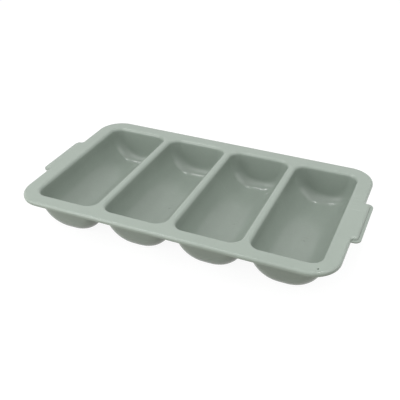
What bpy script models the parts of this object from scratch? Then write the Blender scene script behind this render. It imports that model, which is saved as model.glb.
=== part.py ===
# Four-compartment cutlery bin: a one-piece moulded tray, divided at its natural lines into named solids.
# X runs along the length, Y across the width and Z up. The origin is on the floor under the middle.

import math

import bmesh
import bpy

# Driving dimensions of the moulding, in metres
RIM_LENGTH = 0.504
RIM_WIDTH = 0.292
RIM_CORNER_RADIUS = 0.042
BIN_HEIGHT = 0.062
WALL = 0.003
SEAM = 0.0003
MERGE_DISTANCE = 0.000003

# Turned-down edge of the rim, with the radius of the bend on its inside
BEND_RADIUS = 0.001
SKIRT_HEIGHT = 0.0062

# Troughs: plan size at the throat, section, and lip with the radius of the bend under it
TROUGH_COUNT = 4
DIVIDER_WIDTH = 0.0138
END_MARGIN = 0.0257
SIDE_MARGIN = 0.0247
FILLET_RADIUS = 0.0175
LIP_BEND_RADIUS = 0.0018
FLANGE_STRIP = 0.0003
SOLE_WIDTH = 0.012
SIDE_DRAFT = math.radians(2.0)
END_DRAFT = math.radians(4.5)

# Carrying tabs in the middle of the short sides
HANDLE_WIDTH = 0.095
NECK_RADIUS = 0.0038
TAB_CORNER_RADIUS = 0.0048
HANDLE_LIP_WIDTH = 0.0044
HANDLE_LIP_THICKNESS = 0.0022

# Smoothness of the curved faces, as counts of flat segments
SECTION_SEGMENTS = 20
FILLET_SEGMENTS = 5
LIP_SEGMENTS = 3
EDGE_SEGMENTS = 5
CORNER_SEGMENTS = 10
SMALL_CORNER_SEGMENTS = 4

# Moulded polyethylene
PLASTIC_COLOUR = (0.34, 0.40, 0.35, 1.0)
PLASTIC_ROUGHNESS = 0.5
SHARP_ANGLE = math.radians(35.0)

# Sizes that follow from the driving dimensions
QUARTER_TURN = math.pi / 2
HALF_LENGTH = RIM_LENGTH / 2
HALF_WIDTH = RIM_WIDTH / 2
TROUGH_WIDTH = (RIM_LENGTH - 2 * END_MARGIN - (TROUGH_COUNT - 1) * DIVIDER_WIDTH) / TROUGH_COUNT
TROUGH_PITCH = TROUGH_WIDTH + DIVIDER_WIDTH
THROAT_HALF_WIDTH = TROUGH_WIDTH / 2
THROAT_HALF_LENGTH = HALF_WIDTH - SIDE_MARGIN
INNER_DEPTH = BIN_HEIGHT - WALL
ROUND_HALF_WIDTH = THROAT_HALF_WIDTH - SOLE_WIDTH / 2
ROUND_RADIUS = (ROUND_HALF_WIDTH * math.cos(SIDE_DRAFT) - INNER_DEPTH * math.sin(SIDE_DRAFT)) / (
    1 - math.sin(SIDE_DRAFT)
)
ROUND_CENTRE_DEPTH = INNER_DEPTH - ROUND_RADIUS
EDGE_RADIUS = WALL + BEND_RADIUS
LIP_RADIUS = WALL + LIP_BEND_RADIUS
FLANGE_WIDTH = LIP_RADIUS + FLANGE_STRIP


def clear_scene():
    for item in list(bpy.data.objects):
        bpy.data.objects.remove(item, do_unlink=True)


def plastic(name):
    material = bpy.data.materials.new(name)
    material.use_nodes = True
    shader = material.node_tree.nodes["Principled BSDF"]
    shader.inputs["Base Color"].default_value = PLASTIC_COLOUR
    shader.inputs["Roughness"].default_value = PLASTIC_ROUGHNESS
    shader.inputs["Metallic"].default_value = 0.0
    material.diffuse_color = PLASTIC_COLOUR
    return material


def place(name, mesh, parent, location=(0, 0, 0), turn=0.0):
    piece = bpy.data.objects.new(name, mesh)
    bpy.context.scene.collection.objects.link(piece)
    piece.parent = parent
    piece.location = location
    piece.rotation_euler = (0, 0, turn)
    piece.data.materials.append(plastic(name + "_plastic"))
    return piece


def mesh_from(name, points, faces):
    """A mesh with outward faces, merged points and smooth rounds."""
    mesh = bpy.data.meshes.new(name)
    mesh.from_pydata(points, [], faces)
    shape = bmesh.new()
    shape.from_mesh(mesh)
    bmesh.ops.remove_doubles(shape, verts=shape.verts, dist=MERGE_DISTANCE)
    bmesh.ops.recalc_face_normals(shape, faces=shape.faces)
    shape.to_mesh(mesh)
    shape.free()
    mesh.shade_smooth()
    mesh.set_sharp_from_angle(angle=SHARP_ANGLE)
    return mesh


def arc(centre, radius, start, end, segments):
    """Points of an arc with their outward directions: (x, y, direction x, direction y)."""
    points = []
    for step in range(segments + 1):
        angle = start + (end - start) * step / segments
        away_x, away_y = math.cos(angle), math.sin(angle)
        points.append((centre[0] + radius * away_x, centre[1] + radius * away_y, away_x, away_y))
    return points


def inward(points):
    """The same arc seen from its hollow side, so that its directions point to its centre."""
    return [(x, y, -away_x, -away_y) for x, y, away_x, away_y in points]


def corner(centre, radius, side_x, side_y, segments):
    """A quarter round, counter-clockwise, in the quadrant of the two signs."""
    quadrant = {(1, 1): 0, (-1, 1): 1, (-1, -1): 2, (1, -1): 3}[(side_x, side_y)]
    start = quadrant * QUARTER_TURN
    return arc(centre, radius, start, start + QUARTER_TURN, segments)


def rim_corner(side_x, side_y):
    centre = (side_x * (HALF_LENGTH - RIM_CORNER_RADIUS), side_y * (HALF_WIDTH - RIM_CORNER_RADIUS))
    return corner(centre, RIM_CORNER_RADIUS, side_x, side_y, CORNER_SEGMENTS)


def throat_corner(trough_x, side_x, side_y):
    """A corner of the opening of the trough whose middle is at trough_x."""
    centre_x = trough_x + side_x * (THROAT_HALF_WIDTH - FILLET_RADIUS)
    centre_y = side_y * (THROAT_HALF_LENGTH - FILLET_RADIUS)
    return corner((centre_x, centre_y), FILLET_RADIUS, side_x, side_y, FILLET_SEGMENTS)


def offset(points, distance):
    return [(x + away_x * distance, y + away_y * distance) for x, y, away_x, away_y in points]


def slab(name, loops, top, thickness):
    """A flat plate with vertical edges, from an outline and any holes in it."""
    curve = bpy.data.curves.new(name, "CURVE")
    curve.dimensions = "2D"
    curve.fill_mode = "BOTH"
    curve.extrude = thickness / 2
    for loop in loops:
        spline = curve.splines.new("POLY")
        spline.points.add(len(loop) - 1)
        for point, (x, y) in zip(spline.points, loop):
            point.co = (x, y, 0, 1)
        spline.use_cyclic_u = True
    guide = bpy.data.objects.new(name + "_outline", curve)
    bpy.context.scene.collection.objects.link(guide)
    flat = bpy.data.meshes.new_from_object(guide.evaluated_get(bpy.context.evaluated_depsgraph_get()))
    bpy.data.objects.remove(guide, do_unlink=True)
    points = [(v.co.x, v.co.y, v.co.z + top - thickness / 2) for v in flat.vertices]
    return mesh_from(name, points, [tuple(face.vertices) for face in flat.polygons])


def sweep(name, path, profile):
    """A profile of (offset, height) points carried along an open path, closed at both ends."""
    count = len(profile)
    points = []
    for x, y, away_x, away_y in path:
        points += [(x + away_x * out, y + away_y * out, height) for out, height in profile]
    faces = [tuple(range(count)), tuple((len(path) - 1) * count + k for k in range(count))]
    for ring in range(len(path) - 1):
        for k in range(count):
            following = (k + 1) % count
            here, there = ring * count, (ring + 1) * count
            faces.append((here + k, here + following, there + following, there + k))
    return mesh_from(name, points, faces)


def edge_profile():
    """The rim's turned-down edge: a round outer edge, a plain wall and the bend inside."""
    outer = arc((-EDGE_RADIUS, BIN_HEIGHT - EDGE_RADIUS), EDGE_RADIUS, QUARTER_TURN, 0, EDGE_SEGMENTS)
    inner = arc((-EDGE_RADIUS, BIN_HEIGHT - EDGE_RADIUS), BEND_RADIUS, 0, QUARTER_TURN, EDGE_SEGMENTS)
    low = BIN_HEIGHT - SKIRT_HEIGHT
    return offset(outer, 0) + [(0, low), (-WALL, low)] + offset(inner, 0)


def tab_path():
    """The outline of the right tab, from its near neck round to its far neck."""
    half = HANDLE_WIDTH / 2
    neck_x = HALF_LENGTH + NECK_RADIUS
    corner_y = half - TAB_CORNER_RADIUS
    near_neck = arc((neck_x, -half - NECK_RADIUS), NECK_RADIUS, math.pi, QUARTER_TURN, SMALL_CORNER_SEGMENTS)
    near_corner = arc((neck_x, -corner_y), TAB_CORNER_RADIUS, -QUARTER_TURN, 0, SMALL_CORNER_SEGMENTS)
    far_corner = arc((neck_x, corner_y), TAB_CORNER_RADIUS, 0, QUARTER_TURN, SMALL_CORNER_SEGMENTS)
    far_neck = arc((neck_x, half + NECK_RADIUS), NECK_RADIUS, -QUARTER_TURN, -math.pi, SMALL_CORNER_SEGMENTS)
    return inward(near_neck)[:-1] + near_corner + far_corner + inward(far_neck)[1:]


def skirt_mesh():
    """The near long side with both its corners, up to the necks of the tabs."""
    end_y = -HANDLE_WIDTH / 2 - NECK_RADIUS - SEAM
    start = [(-HALF_LENGTH, end_y, -1, 0)]
    finish = [(HALF_LENGTH, end_y, 1, 0)]
    return sweep("skirt", start + rim_corner(-1, -1) + rim_corner(1, -1) + finish, edge_profile())


def handle_mesh():
    """The right tab: the edge profile carried round its outline, and the flat plate that it encloses."""
    path, profile = tab_path(), edge_profile()
    count, last = len(profile), len(path) - 1
    points = []
    for x, y, away_x, away_y in path:
        points += [(x + away_x * out, y + away_y * out, height) for out, height in profile]
    faces = [tuple(range(count)), tuple(last * count + k for k in range(count))]
    for ring in range(last):
        here, there = ring * count, (ring + 1) * count
        for k in range(count - 1):
            faces.append((here + k, here + k + 1, there + k + 1, there + k))
    faces.append(tuple(ring * count for ring in range(last + 1)))
    faces.append(tuple(ring * count + count - 1 for ring in range(last + 1)))
    faces.append((0, count - 1, last * count + count - 1, last * count))
    return mesh_from("handle", points, faces)


def handle_lip_mesh():
    """The flat lip round the foot of the right tab's wall."""
    bend_x, bend_y = HALF_LENGTH + NECK_RADIUS, HANDLE_WIDTH / 2 - TAB_CORNER_RADIUS
    radius = TAB_CORNER_RADIUS + HANDLE_LIP_WIDTH
    near = corner((bend_x, -bend_y), radius, 1, -1, SMALL_CORNER_SEGMENTS)
    far = corner((bend_x, bend_y), radius, 1, 1, SMALL_CORNER_SEGMENTS)
    root_x = HALF_LENGTH + SEAM
    root_y = bend_y + radius
    outside = [(root_x, -root_y)] + offset(near + far, 0) + [(root_x, root_y)]
    inside = [(max(x, root_x), y) for x, y in offset(tab_path(), SEAM)]
    low = BIN_HEIGHT - SKIRT_HEIGHT
    return slab("handle_lip", [outside + inside[::-1]], low + HANDLE_LIP_THICKNESS, HANDLE_LIP_THICKNESS)


def trough_centres():
    middle = (TROUGH_COUNT - 1) / 2
    return [(place_in_row - middle) * TROUGH_PITCH for place_in_row in range(TROUGH_COUNT)]


def deck_mesh():
    """The flat frame of the rim, whose points reach in between the troughs as far as the dividers."""
    around = rim_corner(1, 1) + rim_corner(-1, 1) + rim_corner(-1, -1) + rim_corner(1, -1)
    outline = offset(around, -EDGE_RADIUS - SEAM)
    out = FLANGE_WIDTH + SEAM
    centres = trough_centres()
    far_side = []
    for x in reversed(centres):
        far_side += offset(throat_corner(x, 1, 1), out) + offset(throat_corner(x, -1, 1), out)
    near_side = []
    for x in centres:
        near_side += offset(throat_corner(x, -1, -1), out) + offset(throat_corner(x, 1, -1), out)
    return slab("rim_deck", [outline, far_side + near_side], BIN_HEIGHT, WALL)


def divider_mesh():
    """The straight bar of the deck between two neighbouring troughs."""
    half_x = DIVIDER_WIDTH / 2 - FLANGE_WIDTH - SEAM
    half_y = THROAT_HALF_LENGTH - FILLET_RADIUS - SEAM
    bar = [(-half_x, -half_y), (half_x, -half_y), (half_x, half_y), (-half_x, half_y)]
    return slab("divider", [bar], BIN_HEIGHT, WALL)


def section(inset, top_depth):
    """Half of the U section, as (half width, depth) from the lip's foot down to the flat strip of the floor.

    An inset of zero is the inner face; a negative inset lies outside it.
    """
    radius = ROUND_RADIUS - inset
    top_half = THROAT_HALF_WIDTH - inset / math.cos(SIDE_DRAFT) - top_depth * math.tan(SIDE_DRAFT)
    points = [(top_half, top_depth)]
    half_segments = SECTION_SEGMENTS // 2
    for step in range(half_segments + 1):
        angle = SIDE_DRAFT + (QUARTER_TURN - SIDE_DRAFT) * step / half_segments
        half_width = SOLE_WIDTH / 2 + radius * math.cos(angle)
        points.append((half_width, ROUND_CENTRE_DEPTH + radius * math.sin(angle)))
    return points


def bowl_rings(wall, top_depth):
    """Rings of the trough's inner face (no wall) or outer face (a wall), from one end to the other.

    Each ring is a whole U section. The rings at an end follow the fillet between trough and end wall.
    """
    rings = []
    quarter = [QUARTER_TURN * step / FILLET_SEGMENTS for step in range(FILLET_SEGMENTS + 1)]
    stations = [(-1, angle) for angle in reversed(quarter)] + [(1, angle) for angle in quarter]
    for side, angle in stations:
        inset = FILLET_RADIUS - (FILLET_RADIUS + wall) * math.cos(angle)
        reach = THROAT_HALF_LENGTH - FILLET_RADIUS + (FILLET_RADIUS + wall) * math.sin(angle)
        half = section(inset, top_depth)
        whole = half + [(-x, depth) for x, depth in reversed(half)]
        ring = [(x, side * (reach - depth * math.tan(END_DRAFT)), BIN_HEIGHT - depth) for x, depth in whole]
        rings.append((ring, side * math.sin(angle), math.cos(angle)))
    return rings


def rim_loop(rings):
    """The top edge of a bowl as one loop: (x, y, outward x, outward y)."""
    right = [(*ring[0][:2], across, along) for ring, along, across in rings]
    left = [(*ring[-1][:2], -across, along) for ring, along, across in rings]
    return right + left[::-1]


def grid_faces(rings_of_indices, closed):
    faces = []
    for here, there in zip(rings_of_indices, rings_of_indices[1:]):
        count = len(here)
        for k in range(count if closed else count - 1):
            following = (k + 1) % count
            faces.append((here[k], here[following], there[following], there[k]))
    return faces


def bowl_faces(points, rings):
    """Adds a bowl's points and gives its faces and the indices of its top loop."""
    start, count = len(points), len(rings[0][0])
    for ring, _, _ in rings:
        points += ring
    indices = [[start + r * count + k for k in range(count)] for r in range(len(rings))]
    faces = grid_faces(indices, False) + [tuple(indices[0]), tuple(indices[-1])]
    loop = [row[0] for row in indices] + [row[-1] for row in reversed(indices)]
    return faces, loop


def lip_levels(radius):
    """One face of the rounded lip, from the trough's wall up to the flange, as (offset, height)."""
    levels = []
    for step in range(1, LIP_SEGMENTS + 1):
        rise = QUARTER_TURN * step / LIP_SEGMENTS
        height = BIN_HEIGHT - LIP_RADIUS + radius * math.sin(rise)
        levels.append((LIP_RADIUS - radius * math.cos(rise), height))
    return levels + [(FLANGE_WIDTH, levels[-1][1])]


def trough_mesh():
    """A U-section trough with closed ends, a rounded lip, a narrow flange and a flat sole."""
    inner = bowl_rings(0, LIP_RADIUS)
    outer = bowl_rings(WALL, LIP_RADIUS)
    points = []
    inner_faces, inner_loop = bowl_faces(points, inner)
    outer_faces, outer_loop = bowl_faces(points, outer)
    loops = [inner_loop]
    edge = rim_loop(bowl_rings(0, 0))
    for out, height in lip_levels(LIP_RADIUS) + lip_levels(LIP_BEND_RADIUS)[::-1]:
        loops.append(list(range(len(points), len(points) + len(edge))))
        points += [(x + out * away_x, y + out * away_y, height) for x, y, away_x, away_y in edge]
    loops.append(outer_loop)
    faces = inner_faces + outer_faces + grid_faces(loops, True)
    return mesh_from("trough", points, faces)


def build():
    clear_scene()
    bin_root = bpy.data.objects.new("cutlery_bin", None)
    bpy.context.scene.collection.objects.link(bin_root)
    place("rim_deck", deck_mesh(), bin_root)
    trough, divider, skirt = trough_mesh(), divider_mesh(), skirt_mesh()
    handle, lip = handle_mesh(), handle_lip_mesh()
    centres = trough_centres()
    for number, x in enumerate(centres, start=1):
        place(f"trough_{number}", trough.copy(), bin_root, (x, 0, 0))
    for number, (left, right) in enumerate(zip(centres, centres[1:]), start=1):
        place(f"divider_{number}", divider.copy(), bin_root, ((left + right) / 2, 0, 0))
    for name, turn in (("front", 0), ("back", math.pi)):
        place(f"skirt_{name}", skirt.copy(), bin_root, turn=turn)
    for name, turn in (("right", 0), ("left", math.pi)):
        place(f"handle_{name}", handle.copy(), bin_root, turn=turn)
        place(f"handle_lip_{name}", lip.copy(), bin_root, turn=turn)


build()
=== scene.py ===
"""Looks of a four-compartment cutlery bin, moulded in one piece from grey polyethylene.

The moulding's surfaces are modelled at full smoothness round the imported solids. One node tree holds the
rule of a trough's shape and makes all four. The deck, the turned-down edge and the carrying tabs are meshes
swept along their outlines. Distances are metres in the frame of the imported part, and +Z is up.
"""

import logging
import math
from collections.abc import Callable
from dataclasses import dataclass, fields
from enum import Enum
from typing import ClassVar

import bmesh
import bpy
from bmesh.types import BMesh, BMVert
from bpy.types import Material, Mesh, Node, NodeSocket, NodeTree, Object
from mathutils import Matrix, Vector


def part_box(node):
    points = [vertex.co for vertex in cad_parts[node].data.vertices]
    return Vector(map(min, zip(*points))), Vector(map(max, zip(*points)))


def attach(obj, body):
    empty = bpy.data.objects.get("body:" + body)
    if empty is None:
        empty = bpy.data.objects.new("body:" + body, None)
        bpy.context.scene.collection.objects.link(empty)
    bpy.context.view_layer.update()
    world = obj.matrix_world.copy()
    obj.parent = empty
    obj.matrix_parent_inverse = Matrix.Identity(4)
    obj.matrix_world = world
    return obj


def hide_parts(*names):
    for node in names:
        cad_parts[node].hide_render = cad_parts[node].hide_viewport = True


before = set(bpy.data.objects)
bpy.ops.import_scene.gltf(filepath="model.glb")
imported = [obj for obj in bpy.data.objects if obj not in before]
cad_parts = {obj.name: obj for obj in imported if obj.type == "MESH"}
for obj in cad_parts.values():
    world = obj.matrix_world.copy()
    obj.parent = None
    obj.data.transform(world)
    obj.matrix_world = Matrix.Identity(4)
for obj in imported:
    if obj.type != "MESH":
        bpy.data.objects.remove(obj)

log = logging.getLogger("cutlery_bin")

BODY = "root"
QUARTER_TURN = math.pi / 2
MERGE_DISTANCE = 0.00001
SHARP_ANGLE = math.radians(40.0)
TROUGH_COUNT = 4

Pair = tuple[float, float]
Point = tuple[float, float, float]
Plan = tuple[float, float, float, float]
Loop = list[Pair]
Faces = list[tuple[int, ...]]


class Side(Enum):
    """A side of the bin, by its word in the names of nodes and pieces."""

    LEFT = "left"
    RIGHT = "right"
    FRONT = "front"
    BACK = "back"


class Graph:
    """A node tree with short ways to add nodes and join them."""

    def __init__(self, tree: NodeTree) -> None:
        """Keeps the tree that is built."""
        self.tree = tree

    def add(self, kind: str, inputs: dict | None = None, **settings: object) -> Node:
        """Adds a node.

        Args:
            kind: Blender's identifier of the node.
            inputs: A value, a socket or a field for each input that is set, by name or place.
            settings: The node's own properties.

        Returns:
            The new node.
        """
        node = self.tree.nodes.new(kind)
        for name, value in settings.items():
            setattr(node, name, value)
        for key, value in (inputs or {}).items():
            self.plug(node.inputs[key], value)
        return node

    def plug(self, socket: NodeSocket, value: object) -> None:
        """Joins a socket or a field to an input, or sets the input's own value.

        Args:
            socket: The input.
            value: A field, an output socket or a plain value.
        """
        if isinstance(value, Field):
            value = value.socket
        if isinstance(value, NodeSocket):
            self.tree.links.new(value, socket)
        else:
            socket.default_value = value

    def field(self, socket: NodeSocket) -> "Field":
        """An output socket as a field of this tree."""
        return Field(self, socket)

    def open_socket(self, name: str, kind: str, way: str = "INPUT", value: object = None) -> None:
        """Adds a named socket to the tree's interface.

        Args:
            name: The socket's name.
            kind: Blender's socket type.
            way: INPUT or OUTPUT.
            value: The default, where the socket has one.
        """
        socket = self.tree.interface.new_socket(name=name, in_out=way, socket_type=kind)
        if value is not None:
            socket.default_value = value


def math_node(operation: str) -> Callable[..., "Field"]:
    """A method of a field that adds a Math node.

    Args:
        operation: The Math node's operation.

    Returns:
        The method. It takes the operands after the field itself, and gives the result as a field.
    """

    def method(first: "Field", *others: "Field | float") -> "Field":
        """The operation's result."""
        inputs = dict(enumerate((first, *others)))
        node = first.graph.add("ShaderNodeMath", inputs, operation=operation)
        return Field(first.graph, node.outputs[0])

    return method


class Field:
    """A number that a node tree works out at each point, with ordinary arithmetic."""

    def __init__(self, graph: Graph, socket: NodeSocket) -> None:
        """Keeps the tree and the output socket that carries the number."""
        self.graph = graph
        self.socket = socket

    __add__ = __radd__ = math_node("ADD")
    __mul__ = __rmul__ = math_node("MULTIPLY")
    __sub__ = math_node("SUBTRACT")
    __truediv__ = math_node("DIVIDE")
    sin = math_node("SINE")
    cos = math_node("COSINE")
    tan = math_node("TANGENT")
    size = math_node("ABSOLUTE")
    sign = math_node("SIGN")
    at_most = math_node("MINIMUM")
    at_least = math_node("MAXIMUM")
    # One where the field is above the other value, and zero elsewhere.
    above = math_node("GREATER_THAN")

    def __rsub__(self, other: float) -> "Field":
        """A number minus this field."""
        return (self * -1.0) + other

    def choose(self, low: "Field | float", high: "Field | float") -> "Field":
        """Blends two values by this field.

        Args:
            low: The value where this field is zero.
            high: The value where this field is one.

        Returns:
            The blended field.
        """
        return self * (high - low) + low


@dataclass(frozen=True)
class TroughRule:
    """Sizes that a trough's shape follows from, which are also the named inputs of its node tree."""

    centre: float
    throat_width: float
    throat_length: float
    height: float
    wall: float = 0.003
    sole_width: float = 0.012
    fillet_radius: float = 0.0175
    lip_radius: float = 0.0048
    flange_width: float = 0.0051
    side_draft: float = math.radians(2.0)
    end_draft: float = math.radians(4.5)
    section_steps: int = 24
    fillet_steps: int = 10
    lip_steps: int = 6

    def edge_loop(self, out: float) -> Loop:
        """The throat's outline, counter-clockwise from the right end of the near side.

        Args:
            out: The distance outside the throat.

        Returns:
            The outline's points.
        """
        right = []
        for side in (-1, 1):
            angles = [QUARTER_TURN * step / self.fillet_steps for step in range(self.fillet_steps + 1)]
            for angle in reversed(angles) if side < 0 else angles:
                across, along = math.cos(angle), math.sin(angle)
                inset = self.fillet_radius * (1 - across) / math.cos(self.side_draft)
                reach = self.throat_length / 2 - self.fillet_radius * (1 - along)
                right.append((self.throat_width / 2 - inset + out * across, side * (reach + out * along)))
        left = [(-x, y) for x, y in reversed(right)]
        return [(self.centre + x, y) for x, y in right + left]


class TroughTree:
    """The node tree that makes a trough: one closed grid of stations along it and points round its wall."""

    CAP_SHARE = 0.8
    BEYOND_STEPS = 3.0

    def __init__(self) -> None:
        """Builds the tree with its named inputs."""
        self.tree = bpy.data.node_groups.new("u_trough", "GeometryNodeTree")
        self.graph = Graph(self.tree)
        for item in fields(TroughRule):
            kind = "NodeSocketInt" if item.type is int else "NodeSocketFloat"
            self.graph.open_socket(self.input_name(item.name), kind)
        self.graph.open_socket("Plastic", "NodeSocketMaterial")
        self.graph.open_socket("Trough", "NodeSocketGeometry", "OUTPUT")
        self.entry = self.graph.add("NodeGroupInput")
        self.build()

    @staticmethod
    def input_name(size: str) -> str:
        """The name of the input that holds one of the rule's sizes."""
        return size.replace("_", " ").capitalize()

    def value(self, size: str) -> Field:
        """One of the rule's sizes as a field."""
        return self.graph.field(self.entry.outputs[self.input_name(size)])

    def build(self) -> None:
        """Adds the grid, its shape and the finishing nodes."""
        sections, fillets, lips = (self.value(n) for n in ("section_steps", "fillet_steps", "lip_steps"))
        # Each half of the grid has the fillet's first station and its cap besides the fillet's steps.
        stations = (fillets + 2.0) * 2.0
        # Round each half go both faces of the wall and the point that closes the sole.
        rounds = ((sections + lips + self.BEYOND_STEPS) * 2.0 + 1.0) * 2.0
        grid = self.graph.add(
            "GeometryNodeMeshGrid",
            {"Size X": 1.0, "Size Y": 1.0, "Vertices X": stations, "Vertices Y": rounds},
        )
        spot = self.graph.add("GeometryNodeInputPosition").outputs[0]
        place = self.graph.add("ShaderNodeSeparateXYZ", {0: spot})
        along = self.graph.field(place.outputs[0]) * (stations - 1.0)
        around = self.graph.field(place.outputs[1]) * (rounds - 1.0)
        shaped = self.graph.add(
            "GeometryNodeSetPosition",
            {"Geometry": grid.outputs["Mesh"], "Position": self.position(along, around)},
        )
        merged = self.graph.add(
            "GeometryNodeMergeByDistance", {"Geometry": shaped.outputs[0], "Distance": MERGE_DISTANCE}
        )
        real = self.graph.add("GeometryNodeRealizeInstances", {"Geometry": merged.outputs[0]})
        dress = {"Geometry": real.outputs[0], "Material": self.entry.outputs["Plastic"]}
        dressed = self.graph.add("GeometryNodeSetMaterial", dress)
        self.graph.add("NodeGroupOutput", {0: dressed.outputs[0]})

    def position(self, along: Field, around: Field) -> NodeSocket:
        """Where each point of the grid goes.

        Args:
            along: The station, counted in steps from the middle of the trough.
            around: The point of the wall's section, counted in steps from the middle of the inner floor.

        Returns:
            The socket that carries the position.
        """
        fillets = self.value("fillet_steps")
        station = along.size() - 0.5
        turn = station.at_most(fillets) / fillets * QUARTER_TURN
        cap = station.above(fillets + 0.5)
        across, ahead, depth = self.section(around.size() - 0.5, turn, cap)
        right = across * around.sign() + self.value("centre")
        joined = {0: right, 1: ahead * along.sign(), 2: self.value("height") - depth}
        return self.graph.add("ShaderNodeCombineXYZ", joined).outputs[0]

    def section(self, step: Field, turn: Field, cap: Field) -> tuple[Field, Field, Field]:
        """A point of the wall's section at a station.

        Args:
            step: The point's number, from the inner floor over the lip to the outer floor.
            turn: The station's angle in the fillet between side and end wall.
            cap: One where the section closes on the middle line of the end wall.

        Returns:
            The point's distance from the middle line, its distance along, and its depth below the top.
        """
        sections, lips = self.value("section_steps"), self.value("lip_steps")
        face = sections + lips + self.BEYOND_STEPS
        outside = step.above(face - 0.5)
        from_sole = outside.choose(step, face * 2.0 - 1.0 - step).at_least(0.0)
        at_top = from_sole.above(sections + 0.5)
        top_depth = self.value("lip_radius")
        inset, reach = self.fillet(turn, outside * self.value("wall"))
        bowl_across, bowl_depth = self.bowl(from_sole.at_most(sections) / sections, inset)
        draft = self.value("side_draft")
        top_across = self.value("throat_width") / 2.0 - inset / draft.cos() - top_depth * draft.tan()
        across = at_top.choose(bowl_across, top_across)
        depth = at_top.choose(bowl_depth, top_depth)
        depth = cap.choose(depth, top_depth + (depth - top_depth) * self.CAP_SHARE)
        ahead = reach - depth * self.value("end_draft").tan()
        lip_across, lip_ahead, lip_depth = self.lip(from_sole, turn, outside)
        on_lip = from_sole.above(sections + 1.5)
        closing = step.above(face * 2.0 - 0.5)
        across = on_lip.choose(across, lip_across) * (1.0 - cap) * (1.0 - closing)
        return across, on_lip.choose(ahead, lip_ahead), on_lip.choose(depth, lip_depth)

    def fillet(self, turn: Field, wall: "Field | float") -> tuple[Field, Field]:
        """How far a station draws the section in, and where it lies.

        Args:
            turn: The station's angle in the fillet.
            wall: The distance outside the inner face.

        Returns:
            The inset and the distance from the middle of the trough.
        """
        radius = self.value("fillet_radius")
        swing = radius + wall
        return radius - swing * turn.cos(), self.value("throat_length") / 2.0 - radius + swing * turn.sin()

    def bowl(self, share: Field, inset: Field) -> tuple[Field, Field]:
        """A point of the round part of the section.

        Args:
            share: Zero at the flat strip of the floor and one where the straight side begins.
            inset: How far the section is drawn in.

        Returns:
            The point's distance from the middle line and its depth.
        """
        draft = self.value("side_draft")
        inner_depth = self.value("height") - self.value("wall")
        half_sole = self.value("sole_width") / 2.0
        half_round = self.value("throat_width") / 2.0 - half_sole
        radius = (half_round * draft.cos() - inner_depth * draft.sin()) / (1.0 - draft.sin())
        angle = share.choose(QUARTER_TURN, draft)
        swing = radius - inset
        return half_sole + swing * angle.cos(), inner_depth - radius + swing * angle.sin()

    def lip(self, from_sole: Field, turn: Field, outside: Field) -> tuple[Field, Field, Field]:
        """A point of the rounded lip or of the flange outside it, on either face of the wall.

        Args:
            from_sole: The point's number, counted up from the floor on its own face.
            turn: The station's angle in the fillet.
            outside: One on the outer face of the wall and zero on the inner face.

        Returns:
            The point's distance from the middle line, its distance along, and its depth.
        """
        lips, radius = self.value("lip_steps"), self.value("lip_radius")
        step = from_sole - self.value("section_steps") - 1.0
        rise = step.at_least(0.0).at_most(lips) / lips * QUARTER_TURN
        swing = radius - outside * self.value("wall")
        on_flange = step.above(lips + 0.5)
        out = on_flange.choose(radius - swing * rise.cos(), self.value("flange_width"))
        depth = on_flange.choose(radius - swing * rise.sin(), outside * self.value("wall"))
        inset, reach = self.fillet(turn, 0.0)
        across = self.value("throat_width") / 2.0 - inset / self.value("side_draft").cos()
        return across + out * turn.cos(), reach + out * turn.sin(), depth


@dataclass(frozen=True)
class Moulding:
    """Sizes of the moulding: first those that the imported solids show, then its rounds and walls."""

    half_length: float
    half_width: float
    height: float
    foot: float
    tab_reach: float
    tab_half_width: float
    lip_top: float
    lip_reach: float
    troughs: tuple[TroughRule, ...]
    wall: float = 0.003
    rim_corner_radius: float = 0.042
    edge_radius: float = 0.004
    flat_strip: float = 0.0015
    foot_radius: float = 0.0006
    neck_radius: float = 0.0038
    tab_corner_radius: float = 0.0048
    corner_steps: int = 24
    edge_steps: int = 10
    small_steps: int = 8
    foot_steps: int = 3

    @classmethod
    def from_frame(cls) -> "Moulding":
        """Reads the overall sizes and the troughs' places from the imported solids."""
        skirt_low, skirt_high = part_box("skirt_front")
        lip_low, lip_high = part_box("handle_lip_right")
        tab_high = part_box("handle_right")[1]
        return cls(
            half_length=skirt_high.x,
            half_width=-skirt_low.y,
            height=skirt_high.z,
            foot=skirt_low.z,
            tab_reach=tab_high.x,
            tab_half_width=tab_high.y - cls.neck_radius,
            lip_top=lip_high.z,
            lip_reach=lip_high.x,
            troughs=tuple(cls.read_trough(number) for number in range(1, TROUGH_COUNT + 1)),
        )

    @staticmethod
    def read_trough(number: int) -> TroughRule:
        """The rule of one trough, from the box of its solid."""
        low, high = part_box(f"trough_{number}")
        flange = 2 * TroughRule.flange_width
        return TroughRule(
            centre=(low.x + high.x) / 2,
            throat_width=high.x - low.x - flange,
            throat_length=high.y - low.y - flange,
            height=high.z,
        )

    def edge_top(self) -> Loop:
        """The rounded outer edge, from the flat top to the wall, as (offset, height)."""
        centre = (-self.edge_radius, self.height - self.edge_radius)
        return turn_profile(centre, self.edge_radius, QUARTER_TURN, 0.0, self.edge_steps)

    def edge_bend(self) -> Loop:
        """The bend inside the rounded edge, from the wall to the underside, as (offset, height)."""
        centre = (-self.edge_radius, self.height - self.edge_radius)
        return turn_profile(centre, self.edge_radius - self.wall, 0.0, QUARTER_TURN, self.edge_steps)

    def inner_foot(self) -> Loop:
        """The rounded inner corner at the foot of the wall, from the underside up, as (offset, height)."""
        centre = (-self.wall + self.foot_radius, self.foot + self.foot_radius)
        return turn_profile(centre, self.foot_radius, -QUARTER_TURN, -math.pi, self.foot_steps)


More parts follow.
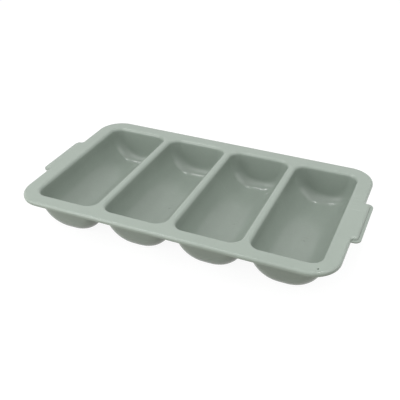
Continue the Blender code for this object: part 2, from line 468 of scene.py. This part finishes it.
def turn_profile(
    centre: Pair, radius: float, start: float, end: float, steps: int
) -> Loop:
    """Points of an arc.

    Args:
        centre: The arc's centre.
        radius: Its radius.
        start: The angle of its first point.
        end: The angle of its last point.
        steps: How many segments it has.

    Returns:
        The arc's points.
    """
    angles = [start + (end - start) * step / steps for step in range(steps + 1)]
    return [(centre[0] + radius * math.cos(a), centre[1] + radius * math.sin(a)) for a in angles]


def turn_path(
    centre: Pair, radius: float, start: float, end: float, steps: int, hollow: bool = False
) -> list[Plan]:
    """Points of an arc in plan, each with its outward direction.

    Args:
        centre: The arc's centre.
        radius: Its radius.
        start: The angle of its first point.
        end: The angle of its last point.
        steps: How many segments it has.
        hollow: Whether outward is towards the centre.

    Returns:
        The points as (x, y, direction x, direction y).
    """
    sense = -1 if hollow else 1
    aways = turn_profile((0.0, 0.0), 1.0, start, end, steps)
    return [(centre[0] + radius * x, centre[1] + radius * y, sense * x, sense * y) for x, y in aways]


def shader_group(name: str, inputs: dict[str, object], output: str) -> tuple[Graph, Node]:
    """A new shader node group that reads a position and puts out one value.

    Args:
        name: The group's name.
        inputs: The default of each number input, by name.
        output: The name of its output.

    Returns:
        The group's graph and its input node.
    """
    graph = Graph(bpy.data.node_groups.new(name, "ShaderNodeTree"))
    graph.open_socket("Position", "NodeSocketVector")
    for key, value in inputs.items():
        graph.open_socket(key, "NodeSocketFloat", value=value)
    graph.open_socket(output, "NodeSocketFloat", "OUTPUT")
    return graph, graph.add("NodeGroupInput")


class SurfaceEffects:
    """Shader node groups that the finishes share, each built once."""

    FINE_DETAIL = 3.0
    COARSE_DETAIL = 2.0
    LINE_DETAIL = 1.0
    BROAD_SCALE = 0.22
    FINE_SHARE = 0.6
    CLOUD_ROUGHNESS = 0.6
    CLOUD_SHARE = 0.75
    SPECK_SCALE = 14.0
    MOTTLE_LIMITS = (0.3, 0.7)
    SCRATCH_ANGLES = (math.radians(62.0), math.radians(118.0))
    SCRATCH_LIMITS = (0.66, 0.74)
    PATCH_SCALE = 14.0
    PATCH_LIMITS = (0.48, 0.68)

    def __init__(self) -> None:
        """Builds the groups."""
        self.grain = self.build_grain()
        self.mottle = self.build_mottle()
        self.scuffs = self.build_scuffs()
        self.polish = self.build_polish()

    @staticmethod
    def noise(graph: Graph, position: object, scale: object, detail: float, roughness: float = 0.5) -> Field:
        """A noise texture's value as a field."""
        inputs = {"Vector": position, "Scale": scale, "Detail": detail, "Roughness": roughness}
        return graph.field(graph.add("ShaderNodeTexNoise", inputs).outputs[0])

    @staticmethod
    def ramp(graph: Graph, value: Field, low: float, high: float) -> Field:
        """A value spread from zero to one between two limits, smoothly."""
        inputs = {"Value": value, "From Min": low, "From Max": high}
        node = graph.add("ShaderNodeMapRange", inputs, interpolation_type="SMOOTHSTEP")
        return graph.field(node.outputs["Result"])

    def build_grain(self) -> NodeTree:
        """The fine grain of the mould's surface, as a height from zero to one."""
        graph, entry = shader_group("moulded_grain", {"Scale": 900.0}, "Height")
        position, scale = entry.outputs["Position"], graph.field(entry.outputs["Scale"])
        fine = self.noise(graph, position, scale, self.FINE_DETAIL)
        broad = self.noise(graph, position, scale * self.BROAD_SCALE, self.COARSE_DETAIL)
        graph.add("NodeGroupOutput", {0: fine * self.FINE_SHARE + broad * (1.0 - self.FINE_SHARE)})
        return graph.tree

    def build_mottle(self) -> NodeTree:
        """The slow drift of shade in the resin, as a value from zero to one."""
        graph, entry = shader_group("resin_mottle", {"Scale": 18.0}, "Shade")
        position, scale = entry.outputs["Position"], graph.field(entry.outputs["Scale"])
        clouds = self.noise(graph, position, scale, self.FINE_DETAIL, self.CLOUD_ROUGHNESS)
        specks = self.noise(graph, position, scale * self.SPECK_SCALE, self.COARSE_DETAIL)
        mixed = clouds * self.CLOUD_SHARE + specks * (1.0 - self.CLOUD_SHARE)
        graph.add("NodeGroupOutput", {0: self.ramp(graph, mixed, *self.MOTTLE_LIMITS)})
        return graph.tree

    def build_scuffs(self) -> NodeTree:
        """Hair scratches in two directions, in patches, as a value from zero to one."""
        graph, entry = shader_group("handling_scuffs", {"Length": 26.0, "Width": 1500.0}, "Scuff")
        position = entry.outputs["Position"]
        stretch = {0: entry.outputs["Length"], 1: entry.outputs["Width"], 2: entry.outputs["Length"]}
        scale = graph.add("ShaderNodeCombineXYZ", stretch).outputs[0]
        scratches = []
        for angle in self.SCRATCH_ANGLES:
            turned = {"Vector": position, "Rotation": (0.0, 0.0, angle), "Scale": scale}
            mapped = graph.add("ShaderNodeMapping", turned, vector_type="POINT")
            lines = self.noise(graph, mapped.outputs[0], 1.0, self.LINE_DETAIL)
            scratches.append(self.ramp(graph, lines, *self.SCRATCH_LIMITS))
        clouds = self.noise(graph, position, self.PATCH_SCALE, self.COARSE_DETAIL)
        patches = self.ramp(graph, clouds, *self.PATCH_LIMITS)
        graph.add("NodeGroupOutput", {0: scratches[0].at_least(scratches[1]) * patches})
        return graph.tree

    def build_polish(self) -> NodeTree:
        """Where the mould is polished and its colour darkened as painted shade: zero above one height and
        one below another.
        """
        graph, entry = shader_group("mould_polish", {"Top": 1.0, "Foot": 0.0}, "Polish")
        place = graph.add("ShaderNodeSeparateXYZ", {0: entry.outputs["Position"]})
        low, high = entry.outputs["Top"], entry.outputs["Foot"]
        graph.add("NodeGroupOutput", {0: self.ramp(graph, graph.field(place.outputs[2]), low, high)})
        return graph.tree


@dataclass(frozen=True)
class SatinPlastic:
    """A satin moulded plastic with grain, a slow drift of shade and hair scratches.

    The mould is grained at the rim and polished below it, where the grain is smoother; there the colour is
    also darkened, as painted shade in the troughs.
    """

    name: str
    colour: Point
    shade_drift: float
    roughness: float
    roughness_drift: float
    grain_scale: float
    grain_depth: float
    scuff_strength: float
    polish_top: float
    polish_foot: float
    # The share of the colour kept below the rim: painted shade in the troughs.
    trough_painted_shade: float
    polished_grain: float
    gloss_level: float
    scuff_shade: float = 0.5
    least_roughness: float = 0.05

    def place(self, graph: Graph, effect: NodeTree, position: object, **inputs: float) -> Field:
        """Adds a shared effect to the material and gives its value."""
        node = graph.add("ShaderNodeGroup", node_tree=effect)
        graph.plug(node.inputs["Position"], position)
        for key, value in inputs.items():
            graph.plug(node.inputs[key], value)
        return graph.field(node.outputs[0])

    def material(self, effects: SurfaceEffects) -> Material:
        """Builds the material.

        Args:
            effects: The shared node groups.

        Returns:
            The material, with its colour, roughness and normal worked out over the surface.
        """
        plastic = bpy.data.materials.new(self.name)
        plastic.use_nodes = True
        graph = Graph(plastic.node_tree)
        shader = plastic.node_tree.nodes["Principled BSDF"]
        position = graph.add("ShaderNodeTexCoord").outputs["Object"]
        shade = self.place(graph, effects.mottle, position)
        polish = self.place(graph, effects.polish, position, Top=self.polish_top, Foot=self.polish_foot)
        scuff = self.place(graph, effects.scuffs, position) * self.scuff_strength
        grain = self.place(graph, effects.grain, position, Scale=self.grain_scale)
        drift = (shade - 0.5) * self.shade_drift
        # Below the rim the colour falls to the trough shade share: painted shade in the troughs.
        factor = drift + polish.choose(1.0, self.trough_painted_shade) + scuff * self.scuff_shade
        tint = graph.add("ShaderNodeCombineColor", {n: factor * c for n, c in enumerate(self.colour)})
        graph.plug(shader.inputs["Base Color"], tint.outputs[0])
        rough = (grain - 0.5) * self.roughness_drift + self.roughness + scuff
        graph.plug(shader.inputs["Roughness"], rough.at_least(self.least_roughness).at_most(1.0))
        relief = grain * polish.choose(1.0, self.polished_grain) - scuff
        bump = graph.add("ShaderNodeBump", {"Height": relief, "Strength": 1.0, "Distance": self.grain_depth})
        graph.plug(shader.inputs["Normal"], bump.outputs["Normal"])
        shader.inputs["Specular IOR Level"].default_value = self.gloss_level
        plastic.diffuse_color = (*self.colour, 1.0)
        return plastic


SATIN_POLYETHYLENE = SatinPlastic(
    name="satin_polyethylene",
    colour=(0.358, 0.414, 0.364),
    shade_drift=0.045,
    roughness=0.24,
    roughness_drift=0.05,
    grain_scale=1100.0,
    grain_depth=0.000016,
    scuff_strength=0.035,
    polish_top=0.0615,
    polish_foot=0.053,
    # Painted shade: the colour below the rim is darkened to this share.
    trough_painted_shade=0.86,
    polished_grain=0.3,
    gloss_level=0.5,
)


def link(item: Object) -> None:
    """Puts an object in the scene."""
    bpy.context.scene.collection.objects.link(item)


def strip_faces(rings: int, count: int, closed: bool) -> Faces:
    """The faces between neighbouring rings of points.

    Args:
        rings: How many rings there are.
        count: How many points each ring has.
        closed: Whether a ring's last point joins its first.

    Returns:
        The faces, ring by ring.
    """
    faces = []
    for here in range(0, (rings - 1) * count, count):
        there = here + count
        for step in range(count if closed else count - 1):
            after = (step + 1) % count
            faces.append((here + step, here + after, there + after, there + step))
    return faces


@dataclass
class Piece:
    """A finished piece of the moulding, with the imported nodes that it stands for."""

    name: str
    nodes: tuple[str, ...]

    def tidy(self, mesh: Mesh) -> Mesh:
        """Merges points, turns the faces outwards and keeps flat faces flat under smooth shading.

        Args:
            mesh: The rough mesh.

        Returns:
            A mesh ready to show.
        """
        shape = bmesh.new()
        shape.from_mesh(mesh)
        bmesh.ops.remove_doubles(shape, verts=shape.verts, dist=MERGE_DISTANCE)
        bmesh.ops.recalc_face_normals(shape, faces=shape.faces)
        if shape.calc_volume(signed=True) < 0:
            bmesh.ops.reverse_faces(shape, faces=shape.faces)
        shape.to_mesh(mesh)
        shape.free()
        mesh.shade_smooth()
        mesh.set_sharp_from_angle(angle=SHARP_ANGLE)
        return mesh

    def show(self, mesh: Mesh, material: Material) -> Object:
        """Puts the piece in the scene on its body.

        Args:
            mesh: The finished mesh.
            material: Its material.

        Returns:
            The piece's object.
        """
        item = bpy.data.objects.new(self.name, self.tidy(mesh))
        link(item)
        if not item.data.materials:
            item.data.materials.append(material)
        weigh_normals(item)
        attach(item, BODY)
        if self.nodes:
            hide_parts(*self.nodes)
        nodes = ", ".join(self.nodes) or "detail"
        log.info("%s: %d faces, stands for %s", self.name, len(item.data.polygons), nodes)
        return item


def weigh_normals(item: Object) -> None:
    """Bakes normals weighted by face area, so that large flat faces shade flat."""
    modifier = item.modifiers.new("flat_faces", "WEIGHTED_NORMAL")
    modifier.keep_sharp = True
    bake_modifiers(item)


def bake_modifiers(item: Object) -> None:
    """Replaces an object's mesh by its evaluated one and removes its modifiers."""
    graph = bpy.context.evaluated_depsgraph_get()
    baked = bpy.data.meshes.new_from_object(item.evaluated_get(graph))
    item.modifiers.clear()
    old = item.data
    item.data = baked
    baked.name = item.name
    bpy.data.meshes.remove(old)


def grown_mesh(tree: NodeTree, values: dict[str, object]) -> Mesh:
    """The plain mesh that a geometry node tree makes.

    Args:
        tree: The node tree.
        values: The value of each named input.

    Returns:
        The evaluated mesh.
    """
    holder = bpy.data.objects.new(tree.name, bpy.data.meshes.new(tree.name))
    link(holder)
    modifier = holder.modifiers.new(tree.name, "NODES")
    modifier.node_group = tree
    identifiers = {
        item.name: item.identifier
        for item in tree.interface.items_tree
        if item.item_type == "SOCKET" and item.in_out == "INPUT"
    }
    for name, value in values.items():
        modifier[identifiers[name]] = value
    holder.update_tag()
    bpy.context.view_layer.update()
    bake_modifiers(holder)
    mesh = holder.data
    bpy.data.objects.remove(holder)
    return mesh


@dataclass
class Maker:
    """What every sub-assembly of the bin is made from."""

    moulding: Moulding
    plastic: Material


@dataclass
class SideMaker(Maker):
    """A sub-assembly made for one side, and turned half round for the opposite one."""

    side: Side
    HOME: ClassVar[Side]

    def finish(self, name: str, nodes: tuple[str, ...], points: list[Point], faces: Faces) -> Object:
        """Makes the mesh, turns it to its side and shows it."""
        mesh = bpy.data.meshes.new(name)
        mesh.from_pydata(points, [], faces)
        if self.side is not self.HOME:
            mesh.transform(Matrix.Rotation(math.pi, 4, "Z"))
        return Piece(name, nodes).show(mesh, self.plastic)


@dataclass
class Troughs(Maker):
    """The four U-section troughs, all made by one tree from their own sizes."""

    def build(self) -> list[Object]:
        """Makes the four trough shells."""
        tree = TroughTree()
        shells = []
        for number, rule in enumerate(self.moulding.troughs, start=1):
            values = {tree.input_name(item.name): getattr(rule, item.name) for item in fields(rule)}
            mesh = grown_mesh(tree.tree, values | {"Plastic": self.plastic})
            shells.append(Piece(f"trough_shell_{number}", (f"trough_{number}",)).show(mesh, self.plastic))
        return shells


@dataclass
class Deck(Maker):
    """The flat deck with its four openings, and the small blind pip near the front right corner."""

    pip_place: Pair = (0.2259, -0.1320)
    pip_radius: float = 0.0013
    pip_lip: float = 0.0004
    pip_depth: float = 0.0022
    pip_steps: int = 20
    pip_lip_steps: int = 3

    def outline(self) -> Loop:
        """The deck's outer edge, where the rounded edge begins."""
        size = self.moulding
        inset = size.edge_radius + size.flat_strip
        loop = []
        for quadrant, (side_x, side_y) in enumerate(((1, 1), (-1, 1), (-1, -1), (1, -1))):
            corner = size.rim_corner_radius
            centre = (side_x * (size.half_length - corner), side_y * (size.half_width - corner))
            start = quadrant * QUARTER_TURN
            loop += turn_profile(centre, corner - inset, start, start + QUARTER_TURN, size.corner_steps)
        return loop

    def pip_loop(self, radius: float) -> Loop:
        """A circle round the pip."""
        full = turn_profile(self.pip_place, radius, 0.0, 2 * math.pi, self.pip_steps)
        return full[:-1]

    @staticmethod
    def fill(shape: BMesh, loops: list[Loop], height: float) -> list[list[BMVert]]:
        """Fills the space between loops at one height.

        Args:
            shape: The mesh that is built.
            loops: The outline and its holes.
            height: Their height.

        Returns:
            The vertices of each loop.
        """
        rings = [[shape.verts.new((x, y, height)) for x, y in loop] for loop in loops]
        edges = [shape.edges.new((a, b)) for ring in rings for a, b in zip(ring, ring[1:] + ring[:1])]
        bmesh.ops.triangle_fill(shape, edges=edges, use_beauty=True, normal=(0, 0, 1))
        return rings

    @staticmethod
    def bridge(shape: BMesh, upper: list[BMVert], lower: list[BMVert]) -> None:
        """Joins two loops with as many points by a ring of faces."""
        for step, corner in enumerate(upper):
            following = (step + 1) % len(upper)
            shape.faces.new((corner, upper[following], lower[following], lower[step]))

    def pip_wall(self, shape: BMesh, mouth: list[BMVert]) -> None:
        """Turns the pip's rounded mouth, its wall and its bottom, down from the loop in the deck's top."""
        top = self.moulding.height
        centre = (self.pip_radius + self.pip_lip, top - self.pip_lip)
        levels = turn_profile(centre, self.pip_lip, QUARTER_TURN, math.pi, self.pip_lip_steps)[1:]
        levels.append((self.pip_radius, top - self.pip_depth))
        for radius, height in levels:
            ring = [shape.verts.new((x, y, height)) for x, y in self.pip_loop(radius)]
            self.bridge(shape, mouth, ring)
            mouth = ring
        shape.faces.new(mouth)

    def build(self) -> Object:
        """Makes the deck."""
        size = self.moulding
        shape = bmesh.new()
        openings = [rule.edge_loop(rule.flange_width) for rule in size.troughs]
        mouth = self.pip_loop(self.pip_radius + self.pip_lip)
        upper = self.fill(shape, [self.outline(), *openings, mouth], size.height)
        lower = self.fill(shape, [self.outline(), *openings], size.height - size.wall)
        for above, below in zip(upper, lower):
            self.bridge(shape, above, below)
        self.pip_wall(shape, upper[-1])
        piece = Piece("deck_plate", ("rim_deck", "divider_1", "divider_2", "divider_3"))
        mesh = bpy.data.meshes.new(piece.name)
        shape.to_mesh(mesh)
        shape.free()
        return piece.show(mesh, self.plastic)


@dataclass
class RimEdge(SideMaker):
    """The turned-down edge along one long side, with both its corners, up to the necks of the tabs."""

    HOME = Side.FRONT

    def path(self) -> list[Plan]:
        """The edge's outline at the front, from the left tab to the right one."""
        size = self.moulding
        end_y = -size.tab_half_width - size.neck_radius
        corners = []
        for quadrant, side_x in ((2, -1), (3, 1)):
            radius = size.rim_corner_radius
            centre = (side_x * (size.half_length - radius), radius - size.half_width)
            start = quadrant * QUARTER_TURN
            corners += turn_path(centre, radius, start, start + QUARTER_TURN, size.corner_steps)
        return [(-size.half_length, end_y, -1, 0), *corners, (size.half_length, end_y, 1, 0)]

    def profile(self) -> Loop:
        """The edge's closed section as (offset, height), from the flat strip over the outside and back."""
        size = self.moulding
        foot_centre = (-size.foot_radius, size.foot + size.foot_radius)
        outer_foot = turn_profile(foot_centre, size.foot_radius, 0.0, -QUARTER_TURN, size.foot_steps)
        strip = -size.edge_radius - size.flat_strip
        top = [(strip, size.height), *size.edge_top()]
        return [*top, *outer_foot, *size.inner_foot(), *size.edge_bend(), (strip, size.height - size.wall)]

    def build(self) -> Object:
        """Makes the edge of this side."""
        path, profile = self.path(), self.profile()
        count, last = len(profile), len(path) - 1
        points = [(x + ax * out, y + ay * out, height) for x, y, ax, ay in path for out, height in profile]
        faces = [tuple(range(count)), tuple(last * count + step for step in range(count))]
        faces += strip_faces(len(path), count, True)
        word = self.side.value
        return self.finish(f"turned_edge_{word}", (f"skirt_{word}",), points, faces)


@dataclass
class CarryingTab(SideMaker):
    """A carrying tab: its plate, the rounded wall round it and the flat lip at the wall's foot."""

    HOME = Side.RIGHT

    def path(self) -> list[tuple[Plan, Point]]:
        """The right tab's outline from neck to neck, each point with its lip's direction and width."""
        size = self.moulding
        bend_x = size.half_length + size.neck_radius
        bend_y = size.tab_half_width - size.tab_corner_radius
        neck_y = size.tab_half_width + size.neck_radius
        lip_width = size.lip_reach - size.tab_reach
        route: list[tuple[Plan, Point]] = []
        for sign in (-1, 1):
            turn, steps = sign * QUARTER_TURN, size.small_steps
            neck_centre, bend_centre = (bend_x, sign * neck_y), (bend_x, sign * bend_y)
            neck = turn_path(neck_centre, size.neck_radius, math.pi, math.pi + turn, steps, True)
            corner = turn_path(bend_centre, size.tab_corner_radius, turn, 0.0, steps)
            edge_y = size.tab_half_width + lip_width
            half = [(point, (0.0, float(sign), edge_y - abs(point[1]))) for point in neck[:-1]]
            half += [(point, (point[2], point[3], lip_width)) for point in corner]
            route += half if sign < 0 else half[::-1]
        return route

    def ring(self, plan: Plan, lip: Point) -> tuple[list[Point], int, int]:
        """The tab's section at one point of its outline.

        Args:
            plan: The point and its outward direction.
            lip: The lip's direction and width there.

        Returns:
            The section's points, and the places among them of the lip's root above and below.
        """
        size = self.moulding
        x, y, away_x, away_y = plan
        toward_x, toward_y, width = lip
        radius, steps = size.foot_radius, size.foot_steps
        root = turn_profile((radius, size.lip_top + radius), radius, math.pi, 3 * QUARTER_TURN, steps)
        rim = turn_profile((width - radius, size.lip_top - radius), radius, QUARTER_TURN, 0.0, steps)
        low = turn_profile((width - radius, size.foot + radius), radius, 0.0, -QUARTER_TURN, steps)
        inside = size.inner_foot() + size.edge_bend()
        wall = [(x + away_x * out, y + away_y * out, height) for out, height in size.edge_top()]
        ledge = [(x + toward_x * out, y + toward_y * out, height) for out, height in root + rim + low]
        under = [(x + away_x * out, y + away_y * out, height) for out, height in inside]
        return [*wall, *ledge, (x, y, size.foot), *under], len(wall), len(wall) + len(ledge)

    def build(self) -> Object:
        """Makes the tab of this side."""
        size = self.moulding
        rings = [self.ring(plan, lip) for plan, lip in self.path()]
        root, under = rings[0][1], rings[0][2]
        count, last = len(rings[0][0]), len(rings) - 1
        points = [point for ring, _, _ in rings for point in ring]
        faces = strip_faces(len(rings), count, False)
        strip_x = size.half_length - size.edge_radius - size.flat_strip
        neck_y = size.tab_half_width + size.neck_radius
        start = len(points)
        for y in (-neck_y, neck_y):
            points += [(strip_x, y, size.height), (strip_x, y, size.height - size.wall)]
        for first, corner in ((0, start), (last * count, start + 2)):
            section = [*range(first, first + root + 1), *range(first + under, first + count)]
            faces.append((*section, corner + 1, corner))
            faces.append(tuple(range(first + root, first + under + 1)))
        faces.append((start, *(ring * count for ring in range(last + 1)), start + 2))
        faces.append((start + 1, *(ring * count + count - 1 for ring in range(last + 1)), start + 3))
        faces.append((start, start + 1, start + 3, start + 2))
        word = self.side.value
        return self.finish(f"carrying_tab_{word}", (f"handle_{word}", f"handle_lip_{word}"), points, faces)


class GateMarkTree:
    """The node tree that sets a gate mark in the middle of each trough's floor."""

    INPUTS = {
        "First": "NodeSocketVector",
        "Pitch": "NodeSocketVector",
        "Count": "NodeSocketInt",
        "Ring radius": "NodeSocketFloat",
        "Ring thickness": "NodeSocketFloat",
        "Nub radius": "NodeSocketFloat",
        "Nub place": "NodeSocketVector",
        "Plastic": "NodeSocketMaterial",
    }

    RING_SIDES = 48
    SECTION_SIDES = 10
    NUB_SEGMENTS = 24
    NUB_RINGS = 12
    NUB_FLATNESS = 0.4

    def __init__(self) -> None:
        """Builds the tree with its named inputs."""
        self.tree = bpy.data.node_groups.new("gate_marks", "GeometryNodeTree")
        self.graph = Graph(self.tree)
        for name, kind in self.INPUTS.items():
            self.graph.open_socket(name, kind)
        self.graph.open_socket("Marks", "NodeSocketGeometry", "OUTPUT")
        self.build()

    def build(self) -> None:
        """Adds the ring, the nub and the row."""
        graph = self.graph
        given = graph.add("NodeGroupInput").outputs
        circle, section = (
            graph.add("GeometryNodeCurvePrimitiveCircle", {"Resolution": sides, "Radius": given[radius]})
            for sides, radius in ((self.RING_SIDES, "Ring radius"), (self.SECTION_SIDES, "Ring thickness"))
        )
        curves = {"Curve": circle.outputs[0], "Profile Curve": section.outputs[0]}
        ring = graph.add("GeometryNodeCurveToMesh", curves)
        round_nub = {"Segments": self.NUB_SEGMENTS, "Rings": self.NUB_RINGS, "Radius": given["Nub radius"]}
        ball = graph.add("GeometryNodeMeshUVSphere", round_nub)
        pressed = {"Translation": given["Nub place"], "Scale": (1.0, 1.0, self.NUB_FLATNESS)}
        nub = graph.add("GeometryNodeTransform", {"Geometry": ball.outputs[0]} | pressed)
        mark = graph.add("GeometryNodeJoinGeometry")
        for part in (ring, nub):
            graph.tree.links.new(part.outputs[0], mark.inputs[0])
        line = {"Count": given["Count"], "Start Location": given["First"], "Offset": given["Pitch"]}
        row = graph.add("GeometryNodeMeshLine", line)
        marked = {"Points": row.outputs[0], "Instance": mark.outputs[0]}
        copies = graph.add("GeometryNodeInstanceOnPoints", marked)
        real = graph.add("GeometryNodeRealizeInstances", {"Geometry": copies.outputs[0]})
        dress = {"Geometry": real.outputs[0], "Material": given["Plastic"]}
        dressed = graph.add("GeometryNodeSetMaterial", dress)
        graph.add("NodeGroupOutput", {0: dressed.outputs[0]})


@dataclass
class GateMarks(Maker):
    """The round marks that the mould's gates leave on the trough floors."""

    ring_radius: float = 0.0052
    ring_thickness: float = 0.0005
    ring_proud: float = 0.00018
    nub_radius: float = 0.0011
    nub_shift: float = 0.0036

    def build(self) -> Object:
        """Makes the four marks."""
        troughs = self.moulding.troughs
        floor = troughs[0].wall + self.ring_proud - self.ring_thickness
        values = {
            "First": Vector((troughs[0].centre, 0.0, floor)),
            "Pitch": Vector((troughs[1].centre - troughs[0].centre, 0.0, 0.0)),
            "Count": len(troughs),
            "Ring radius": self.ring_radius,
            "Ring thickness": self.ring_thickness,
            "Nub radius": self.nub_radius,
            "Nub place": Vector((0.0, -self.nub_shift, self.ring_thickness)),
            "Plastic": self.plastic,
        }
        mesh = grown_mesh(GateMarkTree().tree, values)
        return Piece("gate_marks", ()).show(mesh, self.plastic)


@dataclass(frozen=True)
class Lamp:
    """A soft lamp that shines at the bin: its place, its two sides and its power."""

    name: str
    direction: Point
    distance: float
    sides: Pair
    power: float

    def build(self, target: Vector) -> None:
        """Hangs the lamp and turns it to the target."""
        light = bpy.data.lights.new(self.name, "AREA")
        light.shape = "RECTANGLE"
        light.size, light.size_y = self.sides
        light.energy = self.power
        item = bpy.data.objects.new(self.name, light)
        item.location = target + Vector(self.direction).normalized() * self.distance
        item.rotation_euler = (target - item.location).to_track_quat("-Z", "Y").to_euler()
        link(item)


@dataclass
class Studio:
    """Camera, lamps, pale floor and white surroundings."""

    moulding: Moulding
    yaw: float = math.radians(-21.448)
    pitch: float = math.radians(36.434)
    roll: float = math.radians(0.719)
    camera_distance: float = 0.8367
    aim: Pair = (0.08932, -0.10126)
    image_side: float = 400.0
    focal_pixels: float = 591.7
    centre_pixel: Pair = (230.0, 232.0)
    sensor_width: float = 36.0
    sky_strength: float = 0.31
    white: float = 1.0
    floor_half_side: float = 6.0
    floor_colour: Point = (0.42, 0.42, 0.35)
    floor_gap: float = 0.0001
    floor_shadow_share: float = 0.16
    lamps: tuple[Lamp, ...] = (
        Lamp("strip_high_left", (-0.40, 0.02, 0.92), 2.4, (0.14, 0.9), 11.2),
        Lamp("lamp_high_right", (0.14, 0.30, 0.94), 2.4, (0.20, 0.30), 8.7),
        Lamp("panel_front", (-0.45, -1.0, 0.60), 2.6, (2.2, 2.2), 9.3),
        Lamp("panel_front_left", (-0.75, -0.75, 0.5), 1.1, (0.9, 0.9), 4.6),
        Lamp("panel_right", (1.0, 0.0, 0.9), 1.0, (0.8, 0.8), 2.4),
        Lamp("panel_over_front", (0.1, -0.4, 0.9), 0.8, (0.5, 0.5), 0.7),
    )

    def camera(self) -> None:
        """Sets the camera at the photograph's viewing angle."""
        tilt = math.cos(self.pitch)
        forward = Vector((math.sin(self.yaw) * tilt, math.cos(self.yaw) * tilt, -math.sin(self.pitch)))
        level = Vector((math.cos(self.yaw), -math.sin(self.yaw), 0.0))
        upright = level.cross(forward)
        right = level * math.cos(self.roll) + upright * math.sin(self.roll)
        up = upright * math.cos(self.roll) - level * math.sin(self.roll)
        target = Vector((*self.aim, self.moulding.height))
        data = bpy.data.cameras.new("camera")
        data.sensor_width = self.sensor_width
        data.lens = self.sensor_width * self.focal_pixels / self.image_side
        data.shift_x = (self.image_side / 2 - self.centre_pixel[0]) / self.image_side
        data.shift_y = (self.centre_pixel[1] - self.image_side / 2) / self.image_side
        item = bpy.data.objects.new("camera", data)
        axes = Matrix((right, up, -forward)).transposed().to_4x4()
        item.matrix_world = Matrix.Translation(target - forward * self.camera_distance) @ axes
        link(item)
        bpy.context.scene.camera = item

    @staticmethod
    def seen(graph: Graph) -> Field:
        """One for rays that show the background to the camera, directly or in a gloss."""
        path = graph.add("ShaderNodeLightPath").outputs
        seen = graph.field(path["Is Camera Ray"])
        return seen.at_least(path["Is Glossy Ray"]).at_least(path["Is Transmission Ray"])

    def world(self) -> None:
        """Sets white surroundings, white to the camera and softer as light."""
        world = bpy.data.worlds.new("studio_white")
        world.use_nodes = True
        graph = Graph(world.node_tree)
        background = world.node_tree.nodes["Background"]
        background.inputs["Color"].default_value = (1.0, 1.0, 1.0, 1.0)
        graph.plug(background.inputs["Strength"], self.seen(graph).choose(self.sky_strength, self.white))
        bpy.context.scene.world = world

    def floor_material(self) -> Material:
        """A pale floor that shows white from above, keeps the bin's shadow and is clear from below."""
        pale = bpy.data.materials.new("pale_floor")
        pale.use_nodes = True
        nodes = pale.node_tree.nodes
        nodes.remove(nodes["Principled BSDF"])
        graph = Graph(pale.node_tree)
        matt = graph.add("ShaderNodeBsdfDiffuse", {"Color": (*self.floor_colour, 1.0)})
        faint = graph.add("ShaderNodeBsdfDiffuse", {"Color": (*[self.floor_shadow_share] * 3, 1.0)})
        glow = graph.add("ShaderNodeEmission", {"Strength": self.white - self.floor_shadow_share / 2})
        shown = graph.add("ShaderNodeAddShader", {0: faint.outputs[0], 1: glow.outputs[0]})
        above = graph.add(
            "ShaderNodeMixShader", {0: self.seen(graph), 1: matt.outputs[0], 2: shown.outputs[0]}
        )
        behind = graph.add("ShaderNodeNewGeometry").outputs["Backfacing"]
        clear = graph.add("ShaderNodeBsdfTransparent")
        mixed = graph.add("ShaderNodeMixShader", {0: behind, 1: above.outputs[0], 2: clear.outputs[0]})
        graph.plug(nodes["Material Output"].inputs["Surface"], mixed.outputs[0])
        return pale

    def floor(self) -> None:
        """Lays the floor that the bin stands on."""
        half = self.floor_half_side
        low = -self.floor_gap
        mesh = bpy.data.meshes.new("studio_floor")
        corners = [(-half, -half, low), (half, -half, low), (half, half, low), (-half, half, low)]
        mesh.from_pydata(corners, [], [(0, 1, 2, 3)])
        mesh.materials.append(self.floor_material())
        item = bpy.data.objects.new("studio_floor", mesh)
        link(item)

    def build(self) -> None:
        """Sets up everything round the bin."""
        self.camera()
        self.world()
        self.floor()
        target = Vector((0.0, 0.0, self.moulding.height / 2))
        for lamp in self.lamps:
            lamp.build(target)
        view = bpy.context.scene.view_settings
        view.view_transform = "Standard"
        log.info("studio: camera, floor and %d lamps", len(self.lamps))


def main() -> None:
    """Builds the bin's pieces and the studio."""
    logging.basicConfig(level=logging.INFO, format="%(message)s")
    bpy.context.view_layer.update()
    moulding = Moulding.from_frame()
    Studio(moulding).build()
    plastic = SATIN_POLYETHYLENE.material(SurfaceEffects())
    Troughs(moulding, plastic).build()
    Deck(moulding, plastic).build()
    for side in (Side.FRONT, Side.BACK):
        RimEdge(moulding, plastic, side).build()
    for side in (Side.LEFT, Side.RIGHT):
        CarryingTab(moulding, plastic, side).build()
    GateMarks(moulding, plastic).build()


if __name__ == "__main__":
    main()
